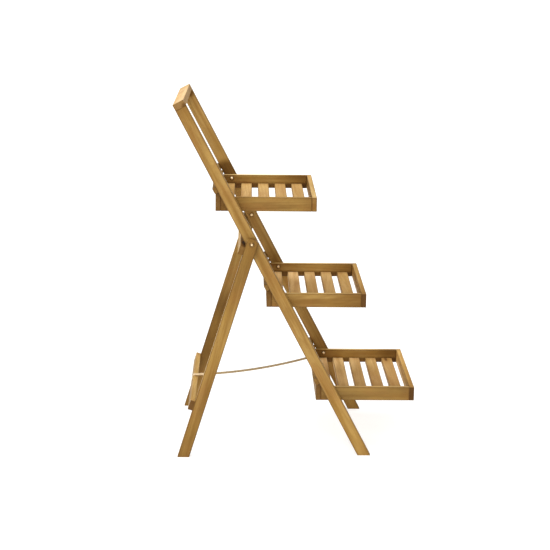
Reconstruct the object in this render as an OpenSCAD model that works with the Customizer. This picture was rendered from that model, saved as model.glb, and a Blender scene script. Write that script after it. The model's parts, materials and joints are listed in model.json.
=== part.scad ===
// Folding plant ladder: a leaning front frame with three tilting slatted trays,
// a rear frame hinged behind it, and a webbing strap that sets the spread.
// +X points to the front, where the trays stand out; +Y is to the right of someone
// who looks at that front; +Z is up. The origin lies on the floor, in the middle of
// the space that the open ladder takes up.

/* [Front frame] */
// Width over the two rails
frame_w = 473; // [360:1:640]
// Width of a rail, seen from the side
rail_w = 35; // [28:0.5:36]
// Thickness of a rail, across the ladder
rail_t = 22; // [18:0.5:30]
// Length of a rail, from the heel of its foot to the top board
rail_len = 1191; // [1150:1:1400]
// Angle between a rail and the floor
rail_lean = 62.25; // [58:0.25:68]
// Thickness of the board across the rail tops
top_board_t = 19; // [10:0.5:24]
// Width of a cross batten behind the rails, measured along the rail
stop_w = 18.5; // [18:0.5:30]
// Thickness of a cross batten behind the rails
stop_t = 11.5; // [11:0.5:18]

/* [Rear frame] */
// Width of a rear leg, seen from the side
leg_w = 34.5; // [33:0.5:42]
// Thickness of a rear leg, across the ladder
leg_t = 21; // [16:0.5:28]
// Angle between a rear leg and the floor
leg_lean = 72.9; // [69:0.1:76]
// Distance from the rail's heel up to the leg pivot, along the rail
leg_pivot_up = 741; // [700:0.2:780]
// Width of a rear batten, measured along the leg
rear_batten_w = 31; // [22:0.5:40]
// Thickness of a rear batten
rear_batten_t = 15; // [13:0.5:20]
// Distance from the leg pivot down to the upper batten's top edge
upper_batten_drop = 8; // [8:0.5:30]
// Distance from the leg pivot down to the lower batten's top edge
lower_batten_drop = 513; // [508:1:560]

/* [Trays] */
// Length of a tray, from back to front
tray_l = 301; // [260:1:340]
// Thickness of the boards round a tray
board_t = 15; // [12:0.5:18]
// Height of a tray's side and front boards
side_h = 42; // [40:0.5:50]
// Height of a tray's back board, which rises to the stop
back_h = 55; // [50:0.5:60]
// Width of a slat
slat_w = 34.5; // [25:0.5:46]
// Thickness of a slat
slat_t = 15; // [8:0.5:16]
// Gap between the back board and the first slat
slat_back_gap = 5; // [1:0.5:10]
// Gap between the last slat and the front board
slat_front_gap = 15.5; // [4:0.5:20]
// Distance from a tray's back face to its pivot
tray_pivot_in = 43.5; // [43:0.5:50]
// Height of a tray's pivot over its underside
tray_pivot_up = 32; // [28:0.5:33]
// Distance from the rail's heel up to the lowest tray's pivot, along the rail
first_pivot_up = 219; // [205:1:230]
// Distance between two tray pivots, along the rail
tray_step = 331; // [320:1:345]

/* [Strap] */
// Width of the webbing
strap_w = 20; // [15:1:40]
// Thickness of the webbing
strap_t = 1.8; // [1:0.1:3]
// Sag in the middle of the strap
strap_sag = 10; // [2:0.5:20]
// Length of the strap that is folded down each batten
strap_tail = 16.5; // [13:0.5:17.5]

/* [Fasteners] */
// Diameter of a leg pivot bolt
bolt_d = 8; // [6:0.5:10]
// Diameter of a leg pivot bolt's head
bolt_head_d = 15; // [13:0.5:20]
// Diameter of a tray pivot screw's shoulder
shoulder_d = 6; // [5:0.5:8]
// Diameter of a tray pivot screw's head
shoulder_head_d = 12; // [10:0.5:14]
// Depth of a tray pivot screw in the rail
shoulder_bite = 16; // [10:0.5:17]
// Height of a domed head
dome_h = 3.5; // [2:0.5:5]
// Thickness of a washer
washer_t = 1.6; // [1:0.1:2]
// Width of a washer's ring, from its hole to its rim
washer_ring = 4; // [3:0.5:5]
// Diameter of a wood screw
screw_d = 3.5; // [3:0.1:4]
// Diameter of a wood screw's countersunk head
screw_head_d = 7; // [6:0.1:8]
// Depth of a wood screw in the second piece
screw_bite = 19; // [12:0.5:20]
// Distance between the two screws of a board's end
screw_pair = 16; // [12:0.5:18]
// Depth of a strap screw in its batten
strap_screw_bite = 9; // [7:0.5:10]
// Height of the cup washer under a strap screw's head
cup_h = 2.2; // [1.5:0.1:3]

/* [Fits] */
// Gap on each side of a washer or under a head that turns
play = 0.2; // [0.1:0.05:0.4]
// Radial clearance of a pivot in the wood that turns on it
turn_fit = 0.08; // [0.02:0.01:0.1]
// Radial clearance of a screw or bolt in its fixed hole
fixed_fit = 0.04; // [0.02:0.01:0.08]
// Gap between a back board and the batten that stops it
stop_gap = 0.3; // [0.2:0.05:0.5]
// Gap between the strap and what it lies on
strap_gap = 0.3; // [0.2:0.05:0.5]
// Width of the eased edges of every piece of wood
ease = 1; // [0.5:0.1:2]

/* [Hidden] */
$fn = 48;
SIDES = ["left", "right"];
TRAYS = ["bottom", "middle", "top"];
SLAT_COUNT = 5;

wood = [0.69, 0.52, 0.31];
slat_wood = [0.78, 0.62, 0.40];
pale_wood = [0.86, 0.74, 0.54];
webbing = [0.86, 0.83, 0.74];
steel = [0.78, 0.77, 0.74];

// Gaps beside the rails: one washer with its play on both sides
side_gap = washer_t + 2 * play;
tray_w = frame_w - 2 * rail_t - 2 * side_gap;
tray_inner_w = tray_w - 2 * board_t;
rear_w = frame_w + 2 * side_gap + 2 * leg_t;
leg_y = frame_w / 2 + side_gap + leg_t / 2;
rail_y = (frame_w - rail_t) / 2;
tray_side_y = (tray_w - board_t) / 2;

// Places in the side view: a is the distance along the rail from its heel, p the
// distance forwards from the rail's back edge
function along_rail(a, p) =
    [p * sin(rail_lean) - a * cos(rail_lean), p * cos(rail_lean) + a * sin(rail_lean)];
leg_pivot = along_rail(leg_pivot_up, rail_w / 2);
leg_len = leg_pivot[1] / sin(leg_lean);
leg_heel_x = leg_pivot[0] - leg_len * cos(leg_lean) - leg_w / 2 / sin(leg_lean);
function tray_pivot_a(level) = first_pivot_up + level * tray_step;
function tray_pivot(level) = along_rail(tray_pivot_a(level), rail_w / 2);
tray_nose_x = tray_pivot(0)[0] - tray_pivot_in + tray_l;
top_back_x = along_rail(rail_len + top_board_t - ease, 0)[0];
rail_heel_x = -(min(leg_heel_x, top_back_x) + tray_nose_x) / 2;

// A stop batten's lower edge lies just over the back board's highest corner
stop_rise = (tray_pivot_in - ease) * cos(rail_lean) + (back_h - tray_pivot_up) * sin(rail_lean)
    + stop_gap;
slat_pitch = (tray_l - 2 * board_t - slat_back_gap - slat_front_gap - slat_w) / (SLAT_COUNT - 1);
screw_len = screw_bite + board_t;
cut = 1;

// ---- frames of reference ----

module in_rail() {
    translate([rail_heel_x, 0, 0]) rotate([0, rail_lean - 90, 0]) children();
}

module in_leg() {
    translate([rail_heel_x + leg_pivot[0], 0, leg_pivot[1]])
        rotate([0, 90 - leg_lean, 0]) children();
}

module in_tray(level) {
    translate([
        rail_heel_x + tray_pivot(level)[0] - tray_pivot_in,
        0,
        tray_pivot(level)[1] - tray_pivot_up
    ]) children();
}

module on_both_sides(y) {
    for (s = [-1, 1]) translate([0, s * y, 0]) children();
}

module floor_cut() {
    translate([-2 * rail_len, -frame_w, -rail_len]) cube([4 * rail_len, 2 * frame_w, rail_len]);
}

// ---- wood ----

module eased_rect(x, y) {
    polygon([
        [ease, 0], [x - ease, 0], [x, ease], [x, y - ease],
        [x - ease, y], [ease, y], [0, y - ease], [0, ease]
    ]);
}

// A board from the origin to [x, y, z] with all of its edges eased
module board(x, y, z) {
    intersection() {
        linear_extrude(z) eased_rect(x, y);
        translate([0, y, 0]) rotate([90, 0, 0]) linear_extrude(y) eased_rect(x, z);
        rotate([90, 0, 90]) linear_extrude(x) eased_rect(y, z);
    }
}

// The same board with its middle at y = 0
module cross_board(x, y, z) {
    translate([0, -y / 2, 0]) board(x, y, z);
}

// ---- fasteners ----

// A pin along +Y, from y0 to y1
module pin_y(r, y0, y1) {
    translate([0, y0, 0]) rotate([-90, 0, 0]) cylinder(r = r, h = y1 - y0);
}

module washer_y(r, y0) {
    difference() {
        pin_y(r + washer_ring, y0, y0 + washer_t);
        pin_y(r + play, y0 - cut, y0 + washer_t + cut);
    }
}

// A domed head that stands on z = 0 and bulges to +Z
module dome(d) {
    sphere_r = (d * d / 4 + dome_h * dome_h) / (2 * dome_h);
    half_angle = asin(d / 2 / sphere_r);
    rotate_extrude() polygon(concat(
        [[0, 0]],
        [for (i = [0:6]) let (t = half_angle * (1 - i / 6))
            [i == 6 ? 0 : sphere_r * sin(t), sphere_r * cos(t) - sphere_r + dome_h]]
    ));
}

// A countersunk wood screw along -Z, with its head flush at z = 0
module wood_screw(bite_len) {
    head_h = (screw_head_d - screw_d) / 2;
    translate([0, 0, -head_h]) cylinder(h = head_h, r1 = screw_d / 2, r2 = screw_head_d / 2);
    translate([0, 0, -bite_len]) cylinder(h = bite_len - head_h, r = screw_d / 2);
}

module wood_screw_hole(bite_len) {
    head_h = (screw_head_d - screw_d) / 2;
    head_r = screw_head_d / 2 + fixed_fit;
    translate([0, 0, -head_h]) cylinder(h = head_h, r1 = screw_d / 2 + fixed_fit, r2 = head_r);
    cylinder(h = cut, r = head_r);
    translate([0, 0, -bite_len - cut]) cylinder(h = bite_len + cut, r = screw_d / 2 + fixed_fit);
}

// Where the screws of each joint sit; +Z of the children points out of the wood
module at_top_board_screws() {
    in_rail() on_both_sides(rail_y)
        translate([rail_w / 2, 0, rail_len + top_board_t]) children();
}

module at_stop_batten_screws(level) {
    in_rail() on_both_sides(rail_y)
        translate([-stop_t, 0, tray_pivot_a(level) + stop_rise + stop_w / 2])
            rotate([0, -90, 0]) children();
}

module at_rear_batten_screws(drop) {
    in_leg() on_both_sides(leg_y)
        for (s = [-1, 1])
            translate([
                -leg_w / 2 - rear_batten_t,
                0,
                -drop - rear_batten_w / 2 + s * screw_pair / 2
            ]) rotate([0, -90, 0]) children();
}

module at_tray_screws(level) {
    in_tray(level) on_both_sides(tray_side_y)
        for (s = [-1, 1]) translate([0, 0, side_h / 2 + s * screw_pair / 2]) {
            translate([tray_l, 0, 0]) rotate([0, 90, 0]) children();
            rotate([0, -90, 0]) children();
        }
}

module tray_pivot_hole(level, r) {
    translate([tray_pivot_in, 0, tray_pivot_up]) rotate([90, 0, 0])
        cylinder(r = r, h = frame_w, center = true);
}

// ---- front frame ----

// The shoulder screws of the trays end blind in the rails
module shoulder_holes() {
    for (level = [0:len(TRAYS) - 1])
        translate([rail_w / 2, -rail_y - rail_t / 2, tray_pivot_a(level)])
            pin_y(shoulder_d / 2 + fixed_fit, rail_t - shoulder_bite - cut, rail_t + cut);
}

module rail_left() {
    color(wood) difference() {
        in_rail() difference() {
            translate([0, -frame_w / 2, -rail_w]) board(rail_w, rail_t, rail_len + rail_w);
            translate([rail_w / 2, 0, leg_pivot_up])
                pin_y(bolt_d / 2 + fixed_fit, -frame_w, 0);
            shoulder_holes();
        }
        floor_cut();
        at_top_board_screws() wood_screw_hole(top_board_t + screw_bite);
        for (level = [0:len(TRAYS) - 1])
            at_stop_batten_screws(level) wood_screw_hole(stop_t + screw_bite);
    }
}

module rail_right() {
    mirror([0, 1, 0]) rail_left();
}

module top_board() {
    color(pale_wood) difference() {
        in_rail() translate([0, 0, rail_len]) cross_board(rail_w, frame_w, top_board_t);
        at_top_board_screws() wood_screw_hole(top_board_t + screw_bite);
    }
}

module stop_batten(level) {
    color(wood) difference() {
        in_rail() translate([-stop_t, 0, tray_pivot_a(level) + stop_rise])
            cross_board(stop_t, frame_w, stop_w);
        at_stop_batten_screws(level) wood_screw_hole(stop_t + screw_bite);
        if (level == 0) at_strap_screw_front() strap_screw_hole();
    }
}

module top_board_screws() {
    color(steel) at_top_board_screws() wood_screw(top_board_t + screw_bite);
}

module stop_batten_screws() {
    color(steel) for (level = [0:len(TRAYS) - 1])
        at_stop_batten_screws(level) wood_screw(stop_t + screw_bite);
}

// ---- rear frame ----

module leg_left() {
    color(wood) difference() {
        in_leg() difference() {
            union() {
                translate([-leg_w / 2, -rear_w / 2, -leg_len - leg_w])
                    board(leg_w, leg_t, leg_len + leg_w + ease);
                leg_head();
            }
            pin_y(bolt_d / 2 + turn_fit, -rear_w, 0);
            leg_head_trim();
        }
        floor_cut();
        for (drop = [upper_batten_drop, lower_batten_drop])
            at_rear_batten_screws(drop) wood_screw_hole(rear_batten_t + screw_bite);
    }
}

// The round head of a leg, with eased rims like the rest of it
module leg_head() {
    translate([0, -rear_w / 2, 0]) rotate([-90, 0, 0]) rotate_extrude()
        polygon([
            [0, 0], [leg_w / 2 - ease, 0], [leg_w / 2, ease],
            [leg_w / 2, leg_t - ease], [leg_w / 2 - ease, leg_t], [0, leg_t]
        ]);
}

module leg_head_trim() {
    translate([0, -rear_w / 2 - cut, 0]) rotate([-90, 0, 0]) linear_extrude(leg_t + 2 * cut)
        difference() {
            translate([-leg_w, -leg_w]) square([2 * leg_w, leg_w]);
            circle(r = leg_w / 2);
        }
}

module leg_right() {
    mirror([0, 1, 0]) leg_left();
}

module rear_batten(drop) {
    color(wood) difference() {
        in_leg() translate([-leg_w / 2 - rear_batten_t, 0, -drop - rear_batten_w])
            cross_board(rear_batten_t, rear_w, rear_batten_w);
        at_rear_batten_screws(drop) wood_screw_hole(rear_batten_t + screw_bite);
        if (drop == lower_batten_drop) at_strap_screw_rear() strap_screw_hole();
    }
}

module rear_batten_screws() {
    color(steel) for (drop = [upper_batten_drop, lower_batten_drop])
        at_rear_batten_screws(drop) wood_screw(rear_batten_t + screw_bite);
}

// ---- pivots ----

module leg_pivot_bolts() {
    color(steel) in_leg() for (s = [0, 1]) mirror([0, s, 0]) {
        pin_y(bolt_d / 2, -rear_w / 2 - play, -frame_w / 2 + rail_t);
        translate([0, -rear_w / 2 - play, 0]) rotate([90, 0, 0]) dome(bolt_head_d);
    }
}

// Thin flanged nuts, flat enough for the folded trays to pass
module leg_pivot_nuts() {
    flange = side_gap / 2;
    color(steel) in_leg() for (s = [0, 1]) mirror([0, s, 0])
        translate([0, -frame_w / 2 + rail_t, 0]) pin_y(bolt_head_d / 2, 0, flange);
}

module leg_pivot_washers() {
    color(steel) in_leg() for (s = [0, 1]) mirror([0, s, 0])
        washer_y(bolt_d / 2, -frame_w / 2 - play - washer_t);
}

module at_tray_pivots() {
    in_rail() for (level = [0:len(TRAYS) - 1]) for (s = [0, 1]) mirror([0, s, 0])
        translate([rail_w / 2, 0, tray_pivot_a(level)]) children();
}

// Each screw turns in the tray's side board and is fixed in the rail
module tray_pivot_screws() {
    head_y = -tray_inner_w / 2 + washer_t + 2 * play;
    color(steel) at_tray_pivots() {
        pin_y(shoulder_d / 2, -frame_w / 2 + rail_t - shoulder_bite, head_y);
        translate([0, head_y, 0]) rotate([-90, 0, 0]) dome(shoulder_head_d);
    }
}

module tray_pivot_washers() {
    color(steel) at_tray_pivots() {
        washer_y(shoulder_d / 2, -tray_w / 2 - play - washer_t);
        washer_y(shoulder_d / 2, -tray_inner_w / 2 + play);
    }
}

// ---- trays ----

module tray_side_left(level) {
    color(wood) difference() {
        in_tray(level) difference() {
            translate([board_t, -tray_w / 2, 0]) board(tray_l - 2 * board_t, board_t, side_h);
            tray_pivot_hole(level, shoulder_d / 2 + turn_fit);
        }
        at_tray_screws(level) wood_screw_hole(screw_len);
    }
}

module tray_side_right(level) {
    mirror([0, 1, 0]) tray_side_left(level);
}

module tray_front(level) {
    color(wood) difference() {
        in_tray(level) translate([tray_l - board_t, 0, 0]) cross_board(board_t, tray_w, side_h);
        at_tray_screws(level) wood_screw_hole(screw_len);
    }
}

module tray_back(level) {
    color(wood) difference() {
        in_tray(level) cross_board(board_t, tray_w, back_h);
        at_tray_screws(level) wood_screw_hole(screw_len);
    }
}

module tray_slat(level, i) {
    color(slat_wood) in_tray(level)
        translate([board_t + slat_back_gap + (i - 1) * slat_pitch, 0, 0])
            cross_board(slat_w, tray_inner_w, slat_t);
}

module tray_screws(level) {
    color(steel) at_tray_screws(level) wood_screw(screw_len);
}

// ---- strap ----

// The middle of the webbing keeps this distance from the wood
strap_off = strap_gap + strap_t / 2;
// Height over the wood at which a strap screw's washer begins
strap_seat = strap_t + 2 * strap_gap;

function turned(point, angle) =
    [point[0] * cos(angle) + point[1] * sin(angle), point[1] * cos(angle) - point[0] * sin(angle)];
function from_rail(p, a) = [rail_heel_x, 0] + turned([p, a], rail_lean - 90);
function from_leg(x, z) = [rail_heel_x, 0] + leg_pivot + turned([x, z], 90 - leg_lean);

rear_face = -leg_w / 2 - rear_batten_t - strap_off;
rear_top = -lower_batten_drop + strap_off;
front_top = tray_pivot_a(0) + stop_rise + stop_w + strap_off;
// The strap hangs free between the outer top edges of its two battens
strap_start = from_leg(rear_face, rear_top);
strap_end = from_rail(strap_off, front_top);
strap_points = concat(
    [from_leg(rear_face, -lower_batten_drop - strap_tail)],
    [for (i = [0:16]) let (t = i / 16)
        strap_start + t * (strap_end - strap_start) - [0, 4 * strap_sag * t * (1 - t)]],
    [from_rail(strap_off, front_top - strap_off - strap_tail)]
);
strap_last = len(strap_points) - 1;

function unit(v) = v / norm(v);
function strap_run(i) = unit(strap_points[i + 1] - strap_points[i]);
// One edge of the webbing in the side view, to the left of its path or to the right
function strap_edge(side) = [for (i = [0:strap_last]) let (
    before = strap_run(max(i - 1, 0)),
    after = strap_run(min(i, strap_last - 1)),
    d = unit(before + after),
    reach = strap_t / 2 / (before * d)
) strap_points[i] + side * reach * [-d[1], d[0]]];
function backwards(list) = [for (i = [len(list) - 1:-1:0]) list[i]];

module spread_strap() {
    color(webbing) difference() {
        translate([0, strap_w / 2, 0]) rotate([90, 0, 0]) linear_extrude(strap_w)
            polygon(concat(strap_edge(1), backwards(strap_edge(-1))));
        at_strap_screw_front() strap_eyelet();
        at_strap_screw_rear() strap_eyelet();
    }
}

// +Z of the children points out of the wood, from the batten's own face
module at_strap_screw_front() {
    in_rail() translate([0, 0, front_top - strap_off - strap_tail / 2])
        rotate([0, 90, 0]) children();
}

module at_strap_screw_rear() {
    in_leg() translate([-leg_w / 2 - rear_batten_t, 0, -lower_batten_drop - strap_tail / 2])
        rotate([0, -90, 0]) children();
}

module strap_eyelet() {
    translate([0, 0, -cut])
        cylinder(r = screw_d / 2 + strap_gap, h = strap_seat + 2 * cut);
}

module strap_screw_hole() {
    translate([0, 0, -strap_screw_bite - cut])
        cylinder(r = screw_d / 2 + fixed_fit, h = strap_screw_bite + 2 * cut);
}

// A round-headed screw on a cup washer that presses on the webbing
module strap_screw() {
    head_r = screw_head_d / 2;
    translate([0, 0, -strap_screw_bite])
        cylinder(r = screw_d / 2, h = strap_screw_bite + strap_seat + cup_h);
    translate([0, 0, strap_seat]) cylinder(r1 = head_r + cup_h, r2 = head_r, h = cup_h);
}

module strap_screw_front() {
    color(steel) at_strap_screw_front() strap_screw();
}

module strap_screw_rear() {
    color(steel) at_strap_screw_rear() strap_screw();
}

// ---- the ladder ----

rail_left();
rail_right();
top_board();
for (level = [0:len(TRAYS) - 1])
    stop_batten(level);
leg_left();
leg_right();
rear_batten(upper_batten_drop);  // rear_batten_upper
rear_batten(lower_batten_drop);  // rear_batten_lower
for (level = [0:len(TRAYS) - 1]) {
    tray = str("tray_", TRAYS[level]);
    tray_side_left(level);
    tray_side_right(level);
    tray_front(level);
    tray_back(level);
    for (i = [1:SLAT_COUNT])
        tray_slat(level, i);
    tray_screws(level);
}
tray_pivot_screws();
tray_pivot_washers();
leg_pivot_bolts();
leg_pivot_nuts();
leg_pivot_washers();
top_board_screws();
stop_batten_screws();
rear_batten_screws();
spread_strap();
strap_screw_front();
strap_screw_rear();
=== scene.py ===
"""Looks of a folding plant ladder: oiled boards, zinc-plated fasteners and a webbing strap."""

import json
import math
import random

import bmesh
import bpy
from mathutils import Matrix, Vector


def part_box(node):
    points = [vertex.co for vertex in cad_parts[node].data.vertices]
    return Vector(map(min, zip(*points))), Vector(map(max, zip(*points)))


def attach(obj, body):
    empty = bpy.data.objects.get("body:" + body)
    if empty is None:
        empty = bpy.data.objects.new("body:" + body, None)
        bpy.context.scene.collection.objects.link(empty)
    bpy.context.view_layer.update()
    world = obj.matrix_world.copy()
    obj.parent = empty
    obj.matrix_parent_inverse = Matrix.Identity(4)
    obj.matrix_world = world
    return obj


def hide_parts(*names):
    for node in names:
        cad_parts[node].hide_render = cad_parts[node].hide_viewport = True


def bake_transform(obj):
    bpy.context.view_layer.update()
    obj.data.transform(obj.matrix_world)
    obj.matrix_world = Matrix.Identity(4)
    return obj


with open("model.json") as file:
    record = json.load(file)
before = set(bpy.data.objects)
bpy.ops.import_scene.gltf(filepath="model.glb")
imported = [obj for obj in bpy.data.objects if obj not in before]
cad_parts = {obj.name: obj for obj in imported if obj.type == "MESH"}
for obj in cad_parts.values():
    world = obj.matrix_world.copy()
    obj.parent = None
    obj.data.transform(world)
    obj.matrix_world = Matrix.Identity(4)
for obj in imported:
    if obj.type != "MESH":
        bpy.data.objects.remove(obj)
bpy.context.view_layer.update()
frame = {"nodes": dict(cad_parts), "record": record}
NODES = frame["nodes"]

# ---- the ladder's own directions and levels ----

RAIL_LEAN = math.radians(62.25)
LEG_LEAN = math.radians(72.9)
ACROSS = Vector((0, 1, 0))
FORWARD = Vector((1, 0, 0))
UP_RAIL = Vector((-math.cos(RAIL_LEAN), 0, math.sin(RAIL_LEAN)))
RAIL_FRONT = Vector((math.sin(RAIL_LEAN), 0, math.cos(RAIL_LEAN)))
UP_LEG = Vector((math.cos(LEG_LEAN), 0, math.sin(LEG_LEAN)))
LEG_BACK = Vector((-math.sin(LEG_LEAN), 0, math.cos(LEG_LEAN)))
LEVELS = ("bottom", "middle", "top")
SLATS = 5

# ---- camera, measured from the photograph ----

CAMERA_PLACE = (-0.1465, -4.4534, 1.5547)
CAMERA_PITCH = math.radians(13.170)
CAMERA_YAW = math.radians(1.123)
CAMERA_ROLL = math.radians(0.666)
CAMERA_LENS = 95.09
SENSOR = 36.0
FAR = 200


def reach(node, direction):
    """How far a node lies along a direction: its lowest and its highest value."""
    along = [v.co.dot(direction) for v in NODES[node].data.vertices]
    return min(along), max(along)


def colour(red, green, blue):
    """A colour given as seen on a screen, 0 to 255, in the light values that Blender mixes."""
    shares = [part / 255 for part in (red, green, blue)]
    light = [c / 12.92 if c <= 0.04045 else ((c + 0.055) / 1.055) ** 2.4 for c in shares]
    return (*light, 1.0)


# ---- node tree helpers ----

# Wood that darkens loses its green faster than its red, and its blue fastest of all
GREEN_POWER = 1.22
BLUE_POWER = 1.75


class Tree:
    """Adds nodes to a node tree in one line each."""

    def __init__(self, tree):
        self.tree = tree

    def add(self, kind, values=None, **settings):
        """A new node, with values for its sockets (a number or a link) and its own settings."""
        node = self.tree.nodes.new(kind)
        for name, value in settings.items():
            setattr(node, name, value)
        for name, value in (values or {}).items():
            self.feed(node.inputs[name], value)
        return node

    def feed(self, socket, value):
        """Gives a socket its value, or links it to the socket that has it."""
        if isinstance(value, bpy.types.NodeSocket):
            self.tree.links.new(value, socket)
        else:
            socket.default_value = value

    def math(self, operation, *terms):
        """One sum on numbers."""
        values = dict(enumerate(terms))
        return self.add("ShaderNodeMath", values, operation=operation).outputs[0]

    def product(self, *terms):
        """All the terms multiplied together."""
        result = terms[0]
        for term in terms[1:]:
            result = self.math("MULTIPLY", result, term)
        return result

    def vector(self, operation, *terms):
        """One sum on vectors."""
        values = dict(enumerate(terms))
        node = self.add("ShaderNodeVectorMath", values, operation=operation)
        return node.outputs["Value" if operation in ("LENGTH", "DOT_PRODUCT") else "Vector"]

    def parts(self, vector):
        """The three numbers of a vector."""
        return self.add("ShaderNodeSeparateXYZ", {"Vector": vector}).outputs

    def stretch(self, vector, sizes):
        """A vector with each of its parts multiplied by a size."""
        return self.vector("MULTIPLY", vector, sizes)

    def noise(self, vector, scale=1.0, detail=2.0, roughness=0.5):
        """Soft random clouds, 0 to 1."""
        values = {"Vector": vector, "Scale": scale, "Detail": detail, "Roughness": roughness}
        return self.add("ShaderNodeTexNoise", values).outputs["Fac"]

    def fade(self, value, low, high, to_low=0.0, to_high=1.0):
        """A smooth change from to_low at low to to_high at high."""
        values = {"Value": value, "From Min": low, "From Max": high}
        values.update({"To Min": to_low, "To Max": to_high})
        node = self.add("ShaderNodeMapRange", values, interpolation_type="SMOOTHSTEP")
        return node.outputs["Result"]

    def blend(self, factor, a, b, kind="MIX"):
        """Colour a at factor 0 and colour b at factor 1."""
        node = self.add("ShaderNodeMix", data_type="RGBA", blend_type=kind)
        self.feed(node.inputs["Factor"], factor)
        self.feed(node.inputs[6], a)
        self.feed(node.inputs[7], b)
        return node.outputs[2]

    def toned(self, wood, tone):
        """Wood made darker and redder, or paler and greyer."""
        green = self.math("POWER", tone, GREEN_POWER)
        blue = self.math("POWER", tone, BLUE_POWER)
        light = self.add("ShaderNodeCombineXYZ", {"X": tone, "Y": green, "Z": blue})
        return self.vector("MULTIPLY", wood, light.outputs[0])


def new_material(name):
    """A new material, with its node tree and its shader."""
    material = bpy.data.materials.new(name)
    material.use_nodes = True
    return material, Tree(material.node_tree), material.node_tree.nodes["Principled BSDF"]


def new_group(name, kind, inputs, outputs):
    """An empty node group with named sockets, as (tree, its input node, its output node)."""
    group = bpy.data.node_groups.new(name, kind)
    for label, socket, value in inputs:
        made = group.interface.new_socket(label, in_out="INPUT", socket_type=socket)
        if value is not None:
            made.default_value = value
    for label, socket in outputs:
        group.interface.new_socket(label, in_out="OUTPUT", socket_type=socket)
    tree = Tree(group)
    return tree, tree.add("NodeGroupInput"), tree.add("NodeGroupOutput")


# ---- wood ----

WOOD_LUCK = 7
GREEN_DRIFT = 1.08
BLUE_DRIFT = 1.3
RING_PITCH = 0.0052
PALE_GRAIN = colour(167, 135, 77)
DARK_GRAIN = colour(133, 98, 44)
CLOUD_GOLD = colour(172, 136, 64)
BLUSH_RED = colour(150, 96, 48)
FIBRE_BROWN = colour(112, 74, 34)
PORE_BROWN = colour(92, 58, 26)
HALO_BROWN = colour(132, 84, 36)
KNOT_BROWN = colour(84, 52, 20)
OILED_BROWN = colour(112, 76, 32)
END_BROWN = colour(88, 58, 24)

# How finely each feature of the wood is drawn, per metre along the grain and across it
WANDER = (1.6, 14, 14)
UNEVEN = (0.8, 30, 30)
STREAKS = (2.2, 70, 70)
CLOUDS = (5.0, 16, 16)
BLUSHES = (9.0, 24, 24)
FIBRES = (45, 1500, 1500)
PORES = (75, 1300, 1300)
KNOTS = (5.5, 24, 24)
RING_PUSH = (0, 0.020, 0.020)

EASED_EDGE = (0.0034, 0.0008)
OIL_REACH = (0.040, 0.002)
LOOKS_UP = (0.70, 0.90)
GRAIN_RELIEF = 0.0004


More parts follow.
